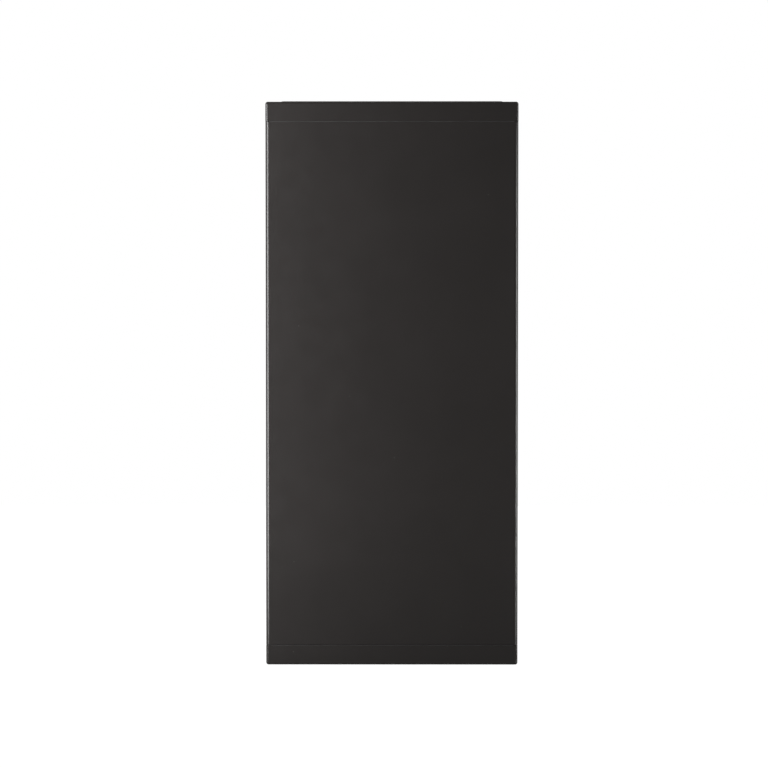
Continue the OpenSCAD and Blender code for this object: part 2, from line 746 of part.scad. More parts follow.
// Touch-proof terminal blocks at the front of each module
module module_terminals() color("#e06a1b") for (k = MODULES) translate([0, 0, shelf_z(k)])
    both_sides() {
        block([terminal_x - 14, cells_front - 15, 168], [terminal_x + 14, cells_front, 196]);
        block([terminal_x - 9, cells_front - 17, 173], [terminal_x + 9, cells_front - 15, 191]);
    }

module sense_boards() color("darkgreen") for (k = MODULES) translate([0, cells_front - 2, shelf_z(k)]) {
    block([-100, -6, 148], [100, -4.4, 186]);
    for (x = [-92, 92], z = [154, 180]) y_rod(2.5, -4.4, 0, x, z);
    for (x = [loom_x, -loom_x], z = [150, 177]) block([x - 12, -13, z], [x + 12, -6, z + 9]);
    for (x = [-75, -25, 25, 75]) block([x - 6, -8, 162], [x + 6, -6, 174]);
    block([-8, -9, 160], [8, -6, 176]);
}

module signal_looms() color("#303030") {
    for (k = [2, 3, 4]) z_rod(loom_r, shelf_z(k - 1) + 186, shelf_z(k) + 150, loom_x, cells_front - 10);
    cable(STACK_LOOM, loom_r);
    cable(SOCKET_LOOM, loom_r);
}

// ---- Electronics bay ----

module electronics_tray() color("silver") {
    block([tray_x[0], tray_y, z_base + sheet], [tray_x[1], tray_y + 2, z_base + 140]);
    block([tray_x[0], tray_y + 2, z_base + sheet], [tray_x[1], tray_y + 20, z_base + sheet + 2]);
}

// Main board on four posts, with its connectors, relays, capacitors and processor
module bms_board() color("darkgreen") {
    z0 = z_base + 16;
    z1 = z_base + 132;
    face = tray_y - 13.6;
    block([board_x[0], face, z0], [board_x[1], face + 1.6, z1]);
    for (x = [board_x[0] + 6, board_x[1] - 6], z = [z0 + 6, z1 - 6]) y_rod(3, face + 1.6, tray_y, x, z);
    for (z = [z0 + 9 : 24 : z0 + 81])
        block([board_x[1] - 12, tray_y - 25, z], [board_x[1] - 2, face, z + 18]);
    for (x = [8, 30]) block([board_x[0] + x, tray_y - 31, z0 + 14], [board_x[0] + x + 18, face, z0 + 40]);
    block([board_x[0] + 30, tray_y - 16, z0 + 62], [board_x[0] + 54, face, z0 + 86]);
    for (z = [60, 76, 92]) y_rod(6, tray_y - 29, face, board_x[0] + 16, z0 + z);
}

module contactors() color("#26262a") for (x = contactor_x) translate([x, tray_y, gear_z]) {
    block([-29, -6, -38], [29, 0, 38]);
    translate([0, -6, 0]) rotate([90, 0, 0]) linear_extrude(48) rounded_rect(52, 62, 10);
    for (z = [-contactor_stud, contactor_stud]) {
        y_rod(7, -61, -54, 0, z);
        y_rod(3, -74, -61, 0, z);
    }
}

// Bolted fuse across two insulating posts
module main_fuse() color("ivory") translate([fuse_x, tray_y, gear_z]) for (s = [-1, 1]) {
    block([-12, -58, s * fuse_stud - 8], [12, 0, s * fuse_stud + 8]);
    y_rod(3, -74, -61, 0, s * fuse_stud);
    block([-9, -61, s > 0 ? 20 : -41], [9, -58, s > 0 ? 41 : -20]);
    z_rod(13, s > 0 ? 0 : -22, s > 0 ? 22 : 0, 0, -59.5);
}

// Sensor block round the bar from the fuse to the second contactor
module current_sensor() color("#202020") difference() {
    bar_z = gear_z - fuse_stud;
    union() {
        block([sensor_x - 8, tray_y - 72, bar_z - 15], [sensor_x + 8, tray_y - 50, bar_z + 17]);
        block([sensor_x - 5, tray_y - 50, bar_z - 8], [sensor_x + 5, tray_y, bar_z + 8]);
    }
    block([sensor_x - 9, link_y - 3, bar_z - 10], [sensor_x + 9, link_y + 3, bar_z + 10]);
}

// Finned aluminium resistor for charging the bus before the contactors close
module precharge_resistor() color("silver") {
    z0 = z_base + 92;
    block([92, tray_y - 3, z0 - 4], [142, tray_y, z0 + 30]);
    block([96, tray_y - 14, z0], [138, tray_y - 3, z0 + 26]);
    for (i = [0 : 5]) block([98 + 7 * i, tray_y - 19, z0 + 1], [101 + 7 * i, tray_y - 14, z0 + 25]);
}

// Cable lug on a stud, its barrel towards dir along Z
module lug(x, z, dir) difference() {
    union() {
        block([x - 8, link_y - link_t, z - 8], [x + 8, link_y, z + 8]);
        translate([x, -116, z]) mirror([0, 0, dir < 0 ? 1 : 0]) z_rod(4.6, 7, lug_l, 0, 0);
    }
    y_rod(3.2, link_y - link_t - 1, link_y + 1, x, z);
}

// Copper bar from the fuse through the sensor to the second contactor, and the lugs
module busbar_links() color("#b87333") {
    low = gear_z - fuse_stud;
    difference() {
        union() {
            block([contactor_x[1] - 9, link_y - link_t, low - 9], [fuse_x + 9, link_y, low + 9]);
            block([contactor_x[1] - 9, link_y - link_t, low], [contactor_x[1] + 9, link_y, gear_z - 9]);
        }
        y_rod(3.2, link_y - link_t - 1, link_y + 1, fuse_x, low);
        y_rod(3.2, link_y - link_t - 1, link_y + 1, contactor_x[1], gear_z - contactor_stud);
    }
    lug(contactor_x[0], gear_z + contactor_stud, 1);
    lug(contactor_x[0], gear_z - contactor_stud, -1);
    lug(contactor_x[1], gear_z + contactor_stud, 1);
    lug(fuse_x, gear_z + fuse_stud, 1);
}

// Row of screw terminals: wires enter from above and from below, screws face the front
module terminal_block() color("#2a2a2a") difference() {
    pitch = 20;
    front = tray_y - 30;
    block([strip_x[0], front, strip_z], [strip_x[1], tray_y, strip_z + strip_h]);
    for (x = [-88 : pitch : 132]) {
        y_rod(3.4, front - 1, front + 9, x, strip_z + strip_h / 2);
        z_rod(3.8, strip_z + strip_h - wire_in, strip_z + strip_h + 1, x, -66);
        z_rod(3.8, strip_z - 1, strip_z + wire_in, x, -66);
    }
    for (x = [-78 : pitch : 122])
        block([x - 0.6, front - 1, strip_z + 2], [x + 0.6, front + 4, strip_z + strip_h + 1]);
}

module hv_cables() color("#e06a1b") {
    for (k = [1, 2, 3])
        z_rod(lead_r, shelf_z(k) + 196, shelf_z(k + 1) + 168, (k == 2 ? -1 : 1) * terminal_x, lead_y);
    for (route = [STACK_START, STACK_END, TO_BREAKER_PLUS, TO_BREAKER_MINUS, TO_STRIP_PLUS, TO_STRIP_MINUS])
        cable(route, lead_r);
}

// Module foot bolts, and the nuts on the studs of the contactors and the fuse
module inner_fasteners() color("silver") {
    for (k = MODULES) translate([0, 0, shelf_z(k)]) both_sides() {
        z_rod(3, -9, 5, foot_x, foot_y);
        z_rod(5.5, 5, 9, foot_x, foot_y, $fn = 6);
    }
    for (x = contactor_x, z = [-1, 1]) stud_nut(x, gear_z + z * contactor_stud);
    for (z = [-1, 1]) stud_nut(fuse_x, gear_z + z * fuse_stud);
}

module stud_nut(x, z) difference() {
    y_rod(5.5, link_y - link_t - 5, link_y - link_t, x, z, $fn = 6);
    y_rod(3, link_y - link_t - 6, link_y - link_t + 1, x, z);
}

// ---- Assembly ----

wall_bracket();
hook_rail();
bumpers();
lock_screws();
rear_chassis();
top_cap();
top_plate();
top_plate_screws();
lifting_plugs();
bottom_cap();
front_cover();
cover_studs();
cover_clips();
cover_seal();
gland_plate();
gland_bodies();
gland_seals();
gland_nuts();
earth_stud();
grip_cups_left();
grip_cups_right();
case_screws();
pressure_vent();
switch_pocket();
breaker_body();
breaker_lever();
breaker_flap();
flap_pin();
button_housing();
power_button();
status_lights();
comm_sockets();
electronics_tray();
bms_board();
contactors();
main_fuse();
current_sensor();
precharge_resistor();
busbar_links();
terminal_block();
sense_boards();
signal_looms();
module_terminals();
hv_cables();
module_shelves();
module_straps();
end_plates();
inner_fasteners();
for (k = MODULES) {
    cells(k);
    busbars(k);
    cell_cover(k);
}
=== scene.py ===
"""Looks of the wall battery unit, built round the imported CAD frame. Everything is in metres."""

import json
import math
import random

import bmesh
import bpy
from mathutils import Matrix, Vector


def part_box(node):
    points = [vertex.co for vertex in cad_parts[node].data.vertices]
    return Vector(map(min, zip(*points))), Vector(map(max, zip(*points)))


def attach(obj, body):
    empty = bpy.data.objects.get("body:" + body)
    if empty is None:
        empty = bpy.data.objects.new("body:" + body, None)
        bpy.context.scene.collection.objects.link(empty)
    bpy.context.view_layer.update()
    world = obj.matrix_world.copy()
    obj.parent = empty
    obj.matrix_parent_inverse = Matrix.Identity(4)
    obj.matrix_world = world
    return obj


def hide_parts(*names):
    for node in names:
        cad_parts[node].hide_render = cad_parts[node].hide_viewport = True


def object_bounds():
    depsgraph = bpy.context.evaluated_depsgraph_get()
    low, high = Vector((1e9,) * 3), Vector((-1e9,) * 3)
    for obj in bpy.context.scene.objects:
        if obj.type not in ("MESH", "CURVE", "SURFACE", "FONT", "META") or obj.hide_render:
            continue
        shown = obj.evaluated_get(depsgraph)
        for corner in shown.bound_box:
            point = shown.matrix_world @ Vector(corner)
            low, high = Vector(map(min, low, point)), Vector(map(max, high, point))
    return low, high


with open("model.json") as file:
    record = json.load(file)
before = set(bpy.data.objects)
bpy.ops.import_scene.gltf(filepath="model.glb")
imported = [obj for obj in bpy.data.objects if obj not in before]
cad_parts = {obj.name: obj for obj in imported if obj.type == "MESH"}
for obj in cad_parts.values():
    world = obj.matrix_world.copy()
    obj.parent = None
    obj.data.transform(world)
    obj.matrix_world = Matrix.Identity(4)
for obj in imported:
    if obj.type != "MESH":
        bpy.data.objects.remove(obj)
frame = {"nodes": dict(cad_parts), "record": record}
cad_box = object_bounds()
nodes = frame["nodes"]

MM = 0.001
Y, Z = Vector((0, 1, 0)), Vector((0, 0, 1))
LOW, HIGH = cad_box
CENTRE = (LOW + HIGH) / 2
FRONT = LOW.y
chance = random.Random(7)


# ---- Materials ----

class Paint:
    """One Principled material, with helpers that feed its sockets from noise at real sizes."""

    def __init__(self, name, colour, roughness, metallic=0.0, **constants):
        self.material = bpy.data.materials.new(name)
        self.material.use_nodes = True
        self.tree = self.material.node_tree
        self.shader = self.tree.nodes["Principled BSDF"]
        self.colour = (*colour, 1.0)
        self.set("Base Color", self.colour)
        self.set("Roughness", roughness)
        self.set("Metallic", metallic)
        for socket, value in constants.items():
            self.set(socket.replace("_", " "), value)
        self.place = self.add("ShaderNodeTexCoord").outputs["Object"]
        self.material.diffuse_color = self.colour

    def set(self, socket, value):
        self.shader.inputs[socket].default_value = value

    def add(self, kind, **options):
        node = self.tree.nodes.new(kind)
        for key, value in options.items():
            setattr(node, key, value)
        return node

    def wire(self, source, target):
        if isinstance(source, bpy.types.NodeSocket):
            self.tree.links.new(source, target)
        else:
            target.default_value = source

    def feed(self, socket, source):
        self.wire(source, self.shader.inputs[socket])

    def squeezed(self, stretch):
        """Object coordinates scaled along each axis, which draws a pattern out along the small ones."""
        node = self.add("ShaderNodeVectorMath", operation="MULTIPLY")
        self.wire(self.place, node.inputs[0])
        node.inputs[1].default_value = stretch
        return node.outputs[0]

    def noise(self, size, detail=3.0, stretch=(1, 1, 1), rough=0.5):
        """Noise from 0 to 1 whose lumps are about `size` metres across."""
        node = self.add("ShaderNodeTexNoise")
        self.wire(self.squeezed(stretch), node.inputs["Vector"])
        node.inputs["Scale"].default_value = 1 / size
        node.inputs["Detail"].default_value = detail
        node.inputs["Roughness"].default_value = rough
        return node.outputs["Fac"]

    def cells(self, size, output="Distance"):
        """Voronoi cells about `size` metres across."""
        node = self.add("ShaderNodeTexVoronoi")
        self.wire(self.place, node.inputs["Vector"])
        node.inputs["Scale"].default_value = 1 / size
        return node.outputs[output]

    def waves(self, size, direction="X", turn=0.0, warp=0.0):
        """Straight parallel ridges `size` metres apart."""
        spacing_at_unit_scale = 0.314
        mapping = self.add("ShaderNodeMapping")
        self.wire(self.place, mapping.inputs["Vector"])
        mapping.inputs["Rotation"].default_value = (0, turn, 0)
        node = self.add("ShaderNodeTexWave", bands_direction=direction)
        self.wire(mapping.outputs[0], node.inputs["Vector"])
        node.inputs["Scale"].default_value = spacing_at_unit_scale / size
        node.inputs["Distortion"].default_value = warp
        return node.outputs["Fac"]

    def spread(self, source, low, high, start=0.3, end=0.7):
        """Maps start..end of a source on low..high, and clamps."""
        node = self.add("ShaderNodeMapRange")
        self.wire(source, node.inputs["Value"])
        for key, value in (("From Min", start), ("From Max", end), ("To Min", low), ("To Max", high)):
            node.inputs[key].default_value = value
        return node.outputs[0]

    def math(self, operation, a, b=0.0):
        node = self.add("ShaderNodeMath", operation=operation)
        self.wire(a, node.inputs[0])
        self.wire(b, node.inputs[1])
        return node.outputs[0]

    def blend(self, factor, a, b):
        """Colour a where the factor is 0, colour b where it is 1."""
        node = self.add("ShaderNodeMix", data_type="RGBA")
        factor_in, colour_a, colour_b, colour_out = *(node.inputs[i] for i in (0, 6, 7)), node.outputs[2]
        self.wire(factor, factor_in)
        self.wire(a, colour_a)
        self.wire(b, colour_b)
        return colour_out

    def tone(self, factor, low, high):
        """The base colour made darker or lighter by a source from 0 to 1."""
        shades = [tuple(min(c * k, 1.0) for c in self.colour[:3]) + (1.0,) for k in (low, high)]
        return self.blend(factor, *shades)

    def bump(self, height, depth, strength):
        """Adds relief of `depth` metres over what was added before."""
        node = self.add("ShaderNodeBump")
        self.wire(height, node.inputs["Height"])
        node.inputs["Distance"].default_value = depth
        node.inputs["Strength"].default_value = strength
        before = self.shader.inputs["Normal"].links
        if before:
            self.wire(before[0].from_socket, node.inputs["Normal"])
        self.feed("Normal", node.outputs[0])

    def dust(self, colour, amount, size, base):
        """Sparse round specks of about a tenth of `size`."""
        near = self.spread(self.cells(size), 1.0, 0.0, 0.035, 0.06)
        some = self.spread(self.noise(size * 4, 1.0), 0.0, 1.0, 0.62, 0.66)
        factor = self.math("MULTIPLY", self.math("MULTIPLY", near, some), amount)
        return self.blend(factor, base, (*colour, 1.0))


def powder_coat(name, colour, roughness, grain=0.9 * MM, relief=0.035 * MM):
    """Baked powder paint: a fine pebbled skin over a slow orange peel."""
    paint = Paint(name, colour, roughness, Specular_IOR_Level=0.5)
    tone = paint.tone(paint.spread(paint.noise(160 * MM, 3), 0, 1), 0.94, 1.06)
    paint.feed("Base Color", paint.dust((0.22, 0.21, 0.2), 0.25, 22 * MM, tone))
    scuffs = paint.spread(paint.noise(34 * MM, 5, rough=0.62), roughness - 0.025, roughness + 0.035)
    paint.feed("Roughness", scuffs)
    paint.bump(paint.noise(5 * MM, 1), relief * 1.6, 0.6)
    paint.bump(paint.noise(grain, 2), relief, 0.8)
    return paint.material


def moulded(name, colour, roughness):
    """Moulded plastic with a spark-eroded grain and faint flow marks."""
    paint = Paint(name, colour, roughness, Specular_IOR_Level=0.45)
    paint.feed("Base Color", paint.tone(paint.spread(paint.noise(18 * MM, 3), 0, 1), 0.92, 1.08))
    paint.feed("Roughness", paint.spread(paint.noise(9 * MM, 4), roughness - 0.05, roughness + 0.06))
    paint.bump(paint.noise(0.35 * MM, 2), 0.018 * MM, 0.7)
    return paint.material


def zinc_sheet(name):
    """Galvanised sheet: pale flat crystals with rolling lines across them."""
    paint = Paint(name, (0.5, 0.51, 0.52), 0.48, 0.85)
    grey = paint.add("ShaderNodeSeparateColor")
    paint.wire(paint.cells(9 * MM, "Color"), grey.inputs[0])
    paint.feed("Base Color", paint.tone(grey.outputs[0], 0.84, 1.12))
    paint.feed("Roughness", paint.spread(grey.outputs[1], 0.42, 0.6, 0, 1))
    paint.bump(paint.noise(1.1 * MM, 3, (0.05, 1, 1)), 0.006 * MM, 0.6)
    return paint.material


def plated_steel(name, colour, roughness, metallic):
    """Turned or drawn steel under a thin plating, with hazy patches."""
    paint = Paint(name, colour, roughness, metallic)
    paint.feed("Base Color", paint.tone(paint.spread(paint.noise(12 * MM, 4), 0, 1), 0.88, 1.06))
    paint.feed("Roughness", paint.spread(paint.noise(7 * MM, 5), roughness - 0.06, roughness + 0.1))
    paint.bump(paint.noise(0.25 * MM, 2), 0.006 * MM, 0.5)
    return paint.material


def cast_metal(name):
    """Die-cast aluminium: a matt skin with fine pits and grey streaks of flow."""
    paint = Paint(name, (0.5, 0.505, 0.51), 0.46, 0.9)
    streaks = paint.spread(paint.noise(26 * MM, 5, (1, 1, 0.4)), 0, 1)
    paint.feed("Base Color", paint.tone(streaks, 0.78, 1.1))
    paint.feed("Roughness", paint.spread(paint.noise(6 * MM, 4), 0.38, 0.58))
    paint.bump(paint.noise(0.7 * MM, 3), 0.03 * MM, 0.7)
    return paint.material


def red_metal(name, colour, stain):
    """Bare copper or brass, brushed along X, with darker tarnish in patches."""
    paint = Paint(name, colour, 0.3, 1.0)
    patches = paint.spread(paint.noise(11 * MM, 5, rough=0.6), 0, 1, 0.42, 0.7)
    paint.feed("Base Color", paint.blend(patches, paint.colour, (*stain, 1.0)))
    paint.feed("Roughness", paint.spread(paint.noise(7 * MM, 4), 0.22, 0.44))
    paint.bump(paint.noise(0.5 * MM, 3, (0.04, 1, 1)), 0.008 * MM, 0.6)
    return paint.material


def rubber_skin(name, colour, roughness, lines=0.0):
    """Rubber or cable jacket: matt, with a pale bloom; `lines` up to 1 draws its grain out along Z."""
    paint = Paint(name, colour, roughness, Specular_IOR_Level=0.35)
    paint.feed("Base Color", paint.tone(paint.spread(paint.noise(14 * MM, 4), 0, 1), 0.88, 1.16))
    paint.feed("Roughness", paint.spread(paint.noise(5 * MM, 3), roughness - 0.08, roughness + 0.06))
    paint.bump(paint.noise(0.5 * MM, 2, (1, 1, 1 - lines)), 0.02 * MM, 0.6)
    return paint.material


def braided_sleeve(name):
    """Loom sleeve woven of two crossing sets of yarn."""
    paint = Paint(name, (0.03, 0.03, 0.032), 0.5, Specular_IOR_Level=0.4)
    yarn = 0.9 * MM
    one_way, other_way = paint.waves(yarn, "DIAGONAL"), paint.waves(yarn, "DIAGONAL", turn=math.pi / 2)
    crossing = paint.math("MAXIMUM", one_way, other_way)
    paint.feed("Base Color", paint.tone(crossing, 0.5, 1.5))
    paint.bump(crossing, 0.12 * MM, 0.8)
    return paint.material


def cell_film(name):
    """Blue film shrunk round each cell, with a seam down its front, and each cell a shade of its own."""
    gloss = {"Specular_IOR_Level": 0.6, "Coat_Weight": 0.25, "Coat_Roughness": 0.12}
    paint = Paint(name, (0.035, 0.115, 0.36), 0.3, **gloss)
    axes = paint.add("ShaderNodeSeparateXYZ")
    paint.wire(paint.place, axes.inputs[0])
    cell_pitch, seam_place = 36.5 * MM, 0.36
    place = paint.math("DIVIDE", axes.outputs[0], cell_pitch)
    each = paint.add("ShaderNodeTexWhiteNoise", noise_dimensions="1D")
    paint.wire(paint.math("FLOOR", place), each.inputs["W"])
    shade = paint.tone(each.outputs["Value"], 0.86, 1.14)
    off_seam = paint.math("ABSOLUTE", paint.math("SUBTRACT", paint.math("FRACT", place), seam_place))
    seam = paint.spread(off_seam, 1, 0, 0.008, 0.02)
    paint.feed("Base Color", paint.blend(seam, shade, (0.02, 0.065, 0.2, 1.0)))
    paint.feed("Roughness", paint.spread(paint.noise(20 * MM, 4, (1, 1, 0.3)), 0.22, 0.42))
    paint.bump(seam, 0.1 * MM, 0.8)
    paint.bump(paint.noise(12 * MM, 4, (1.6, 1, 0.25)), 0.12 * MM, 0.5)
    return paint.material


def solder_mask(name):
    """Green circuit board with copper tracks under the lacquer, running in steps."""
    gloss = {"Specular_IOR_Level": 0.5, "Coat_Weight": 0.3, "Coat_Roughness": 0.15}
    paint = Paint(name, (0.012, 0.105, 0.045), 0.28, **gloss)
    track_pitch = 1.3 * MM

    def tracks(direction, where):
        lines = paint.spread(paint.waves(track_pitch, direction, warp=0.4), 0, 1, 0.62, 0.7)
        return paint.math("MULTIPLY", lines, where)

    upright = tracks("X", paint.spread(paint.cells(11 * MM), 0, 1, 0.3, 0.34))
    level = tracks("Z", paint.spread(paint.noise(9 * MM, 1), 0, 1, 0.55, 0.57))
    both = paint.math("MAXIMUM", upright, level)
    paint.feed("Base Color", paint.blend(both, paint.colour, (0.03, 0.19, 0.075, 1.0)))
    paint.bump(both, 0.03 * MM, 0.7)
    return paint.material


def glazed_ceramic(name):
    """Cream glaze over clay, with faint brown specks."""
    gloss = {"Specular_IOR_Level": 0.55, "Coat_Weight": 0.5, "Coat_Roughness": 0.08}
    paint = Paint(name, (0.72, 0.69, 0.6), 0.2, **gloss)
    specks = paint.math("MULTIPLY", paint.spread(paint.cells(2.2 * MM), 1, 0, 0.1, 0.16), 0.35)
    paint.feed("Base Color", paint.blend(specks, paint.colour, (0.4, 0.34, 0.25, 1.0)))
    paint.feed("Roughness", paint.spread(paint.noise(5 * MM, 3), 0.14, 0.3))
    paint.bump(paint.noise(3 * MM, 2), 0.03 * MM, 0.5)
    return paint.material


def smoked_window(name):
    """Clear smoke-tinted sheet with fine rubbing marks."""
    paint = Paint(name, (0.05, 0.052, 0.056), 0.08, Specular_IOR_Level=0.6, Alpha=0.24)
    rubs = paint.spread(paint.noise(6 * MM, 3, (1, 1, 0.2)), 0.05, 0.14, 0.45, 0.8)
    paint.feed("Roughness", rubs)
    paint.feed("Base Color", paint.tone(paint.spread(paint.noise(30 * MM, 2), 0, 1), 0.9, 1.15))
    return paint.material


def lamp_lens(name):
    """Green lens lit from behind, brighter towards its ribbed middle."""
    paint = Paint(name, (0.16, 0.62, 0.24), 0.22, Specular_IOR_Level=0.5, Emission_Strength=0.9)
    glow = paint.spread(paint.noise(1.5 * MM, 2), 0, 1)
    paint.feed("Base Color", paint.tone(glow, 0.85, 1.15))
    paint.feed("Emission Color", paint.blend(glow, (0.08, 0.6, 0.16, 1), (0.2, 0.9, 0.3, 1)))
    paint.bump(paint.waves(0.5 * MM, "Z"), 0.03 * MM, 0.6)
    return paint.material


LOOKS = {
    "shell_coat": powder_coat("shell_coat", (0.022, 0.019, 0.018), 0.32),
    "chassis_coat": powder_coat("chassis_coat", (0.027, 0.026, 0.0255), 0.45),
    "bracket_coat": powder_coat("bracket_coat", (0.068, 0.068, 0.07), 0.5, 1.3 * MM, 0.04 * MM),
    "zinc_steel": zinc_sheet("zinc_steel"),
    "black_screw": plated_steel("black_screw", (0.03, 0.03, 0.032), 0.36, 0.8),
    "screw_steel": plated_steel("screw_steel", (0.46, 0.46, 0.45), 0.44, 0.85),
    "black_plastic": moulded("black_plastic", (0.022, 0.022, 0.023), 0.48),
    "white_plastic": moulded("white_plastic", (0.68, 0.67, 0.62), 0.42),
    "grey_plastic": moulded("grey_plastic", (0.52, 0.52, 0.5), 0.42),
    "smoke_plastic": smoked_window("smoke_plastic"),
    "lamp_plastic": lamp_lens("lamp_plastic"),
    "orange_plastic": moulded("orange_plastic", (0.78, 0.2, 0.02), 0.4),
    "rubber": rubber_skin("rubber", (0.018, 0.018, 0.018), 0.72),
    "grey_rubber": rubber_skin("grey_rubber", (0.1, 0.1, 0.1), 0.6),
    "orange_cable": rubber_skin("orange_cable", (0.8, 0.17, 0.012), 0.45, 0.9),
    "loom_sleeve": braided_sleeve("loom_sleeve"),
    "cell_wrap": cell_film("cell_wrap"),
    "cast_aluminium": cast_metal("cast_aluminium"),
    "copper": red_metal("copper", (0.86, 0.42, 0.25), (0.42, 0.17, 0.09)),
    "brass": red_metal("brass", (0.8, 0.6, 0.26), (0.42, 0.29, 0.1)),
    "board": solder_mask("board"),
    "ceramic_body": glazed_ceramic("ceramic_body"),
}


# ---- CAD nodes: each keeps its mesh, gets its material, and its edges are broken by modifiers ----

SWEPT = {"hv_cables", "signal_looms"}
FINE_EDGE = 0.25 * MM
SHEET_EDGE = 0.35 * MM
EDGES = {
    "front_cover": SHEET_EDGE,
    "top_cap": 0.5 * MM,
    "bottom_cap": 0.5 * MM,
    "top_plate": 0.5 * MM,
    "wall_bracket": 0.5 * MM,
    "module_terminals": 0.8 * MM,
    **{f"cell_cover_{row}": 0.8 * MM for row in range(1, 5)},
    "end_plates": 0.8 * MM,
    "contactors": 0.7 * MM,
    "main_fuse": 0.5 * MM,
    "breaker_body": 0.5 * MM,
    "breaker_lever": 0.6 * MM,
    "current_sensor": 0.6 * MM,
    "terminal_block": 0.4 * MM,
    "switch_pocket": 0.4 * MM,
    "grip_cups_left": 0.6 * MM,
    "grip_cups_right": 0.6 * MM,
}


def smooth_faces(obj):
    obj.data.polygons.foreach_set("use_smooth", [True] * len(obj.data.polygons))
    obj.data.update()


def point_keys(mesh):
    """Each vertex's place to 0.01 mm, which the split copies of a corner share."""
    return [tuple(round(c, 5) for c in v.co) for v in mesh.vertices]


def join_corners(obj):
    """Merges the split copies of each corner."""
    weld = obj.modifiers.new("weld", "WELD")
    weld.merge_threshold = 0.005 * MM


def break_edges(obj, width):
    """Joins split corners, clears flat facets, rounds hard edges and shades flats flat."""
    join_corners(obj)
    flats = obj.modifiers.new("flats", "DECIMATE")
    flats.decimate_type = "DISSOLVE"
    flats.angle_limit = math.radians(0.6)
    bevel = obj.modifiers.new("edges", "BEVEL")
    bevel.width = width
    bevel.segments = 2
    bevel.limit_method = "ANGLE"
    bevel.angle_limit = math.radians(32)
    bevel.use_clamp_overlap = False
    shade = obj.modifiers.new("shade", "WEIGHTED_NORMAL")
    shade.weight = 100
    shade.keep_sharp = False


def round_tubes(obj):
    """Joins a swept cable's rings and smooths it, with a crease round each flat end to hold it in place."""
    mesh = obj.data
    keys = point_keys(mesh)
    normals = {}
    for polygon in mesh.polygons:
        for a, b in polygon.edge_keys:
            normals.setdefault(frozenset((keys[a], keys[b])), []).append(polygon.normal.copy())
    crease = mesh.attributes.new("crease_edge", "FLOAT", "EDGE")
    for edge in mesh.edges:
        around = normals[frozenset(keys[i] for i in edge.vertices)]
        crease.data[edge.index].value = float(any(n.angle(around[0], 0) > 1 for n in around))
    join_corners(obj)
    round_off = obj.modifiers.new("round", "SUBSURF")
    round_off.levels = round_off.render_levels = 1


slot_of = {part["node"]: part["material_slot"] for part in frame["record"]["subparts"]}
for name, obj in nodes.items():
    obj.data.materials.clear()
    obj.data.materials.append(LOOKS[slot_of[name]])
    smooth_faces(obj)
    if name in SWEPT:
        round_tubes(obj)
    else:
        break_edges(obj, EDGES.get(name, FINE_EDGE))


# ---- Detail pieces: finer than the CAD, in the places it gives ----

def solids(node):
    """The points of each separate solid of a node."""
    mesh = nodes[node].data
    keys = point_keys(mesh)
    leader = {key: key for key in keys}

    def find(key):
        while leader[key] != key:
            key = leader[key]
        return key

    for polygon in mesh.polygons:
        first = find(keys[polygon.vertices[0]])
        for index in polygon.vertices[1:]:
            leader[find(keys[index])] = first
    groups = {}
    for key in leader:
        groups.setdefault(find(key), []).append(Vector(key))
    return list(groups.values())


def corners(points):
    """The lowest and highest corners of the box round some points."""
    return (
        Vector([min(p[i] for p in points) for i in range(3)]),
        Vector([max(p[i] for p in points) for i in range(3)]),
    )


def ring(centre, axis, radius, sides=0, count=24):
    """Points round an axis, on a circle or on a polygon with that many sides."""
    side = axis.orthogonal().normalized()
    up = axis.cross(side)
    points = []
    for i in range(count):
        angle = 2 * math.pi * i / count
        reach = radius
        if sides:
            half = math.pi / sides
            reach *= math.cos(half) / math.cos(angle % (2 * half) - half)
        points.append(centre + (side * math.cos(angle) + up * math.sin(angle)) * reach)
    return points


def loft(bm, rings):
    """Skins a row of rings with equal numbers of points, and closes both ends."""
    rows = [[bm.verts.new(p) for p in points] for points in rings]
    for a, b in zip(rows, rows[1:]):
        for i in range(len(a)):
            j = (i + 1) % len(a)
            bm.faces.new((a[i], a[j], b[j], b[i]))
    bm.faces.new(rows[0][::-1])
    bm.faces.new(rows[-1])


def brick(bm, low, high):
    """A box between two corners."""
    size = Vector(high) - Vector(low)
    place = Matrix.Translation((Vector(low) + Vector(high)) / 2) @ Matrix.Diagonal((*size, 1))
    bmesh.ops.create_cube(bm, size=1, matrix=place)


def piece(name, bm, slot, body="cabinet", edge=0.0, stands_for=(), look=None):
    """Turns the mesh into a piece that rides on a body and takes its finish from a slot of the record."""
    bmesh.ops.recalc_face_normals(bm, faces=bm.faces)
    mesh = bpy.data.meshes.new(name)
    bm.to_mesh(mesh)
    bm.free()
    mesh.materials.append(LOOKS[look or slot])
    obj = bpy.data.objects.new(name, mesh)
    bpy.context.scene.collection.objects.link(obj)
    smooth_faces(obj)
    if edge:
        break_edges(obj, edge)
    else:
        mesh.set_sharp_from_angle(angle=math.radians(35))
    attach(obj, body)
    if stands_for:
        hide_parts(*stands_for)


def socket_screw(bm, seat, axis, head, height, shank, length, dome):
    """A screw with its head on its seat: a chamfered shank, a head that narrows by `dome`, a hex socket."""
    key = 0.46 * head
    profile = [
        (-length, 0.7 * shank), (-length + 0.3 * shank, shank), (0, shank), (0, head), (0.4 * height, head),
        (0.75 * height, head * (1 - 0.3 * dome)), (0.94 * height, head * (1 - 0.75 * dome)),
        (height, max(head * (0.96 - dome), 1.15 * key)),
    ]
    rings = [ring(seat + axis * h, axis, r) for h, r in profile]
    for h, r in ((height, 1.08 * key), (0.9 * height, key), (0.3 * height, key)):
        rings.append(ring(seat + axis * h, axis, r, sides=6))
    loft(bm, rings)


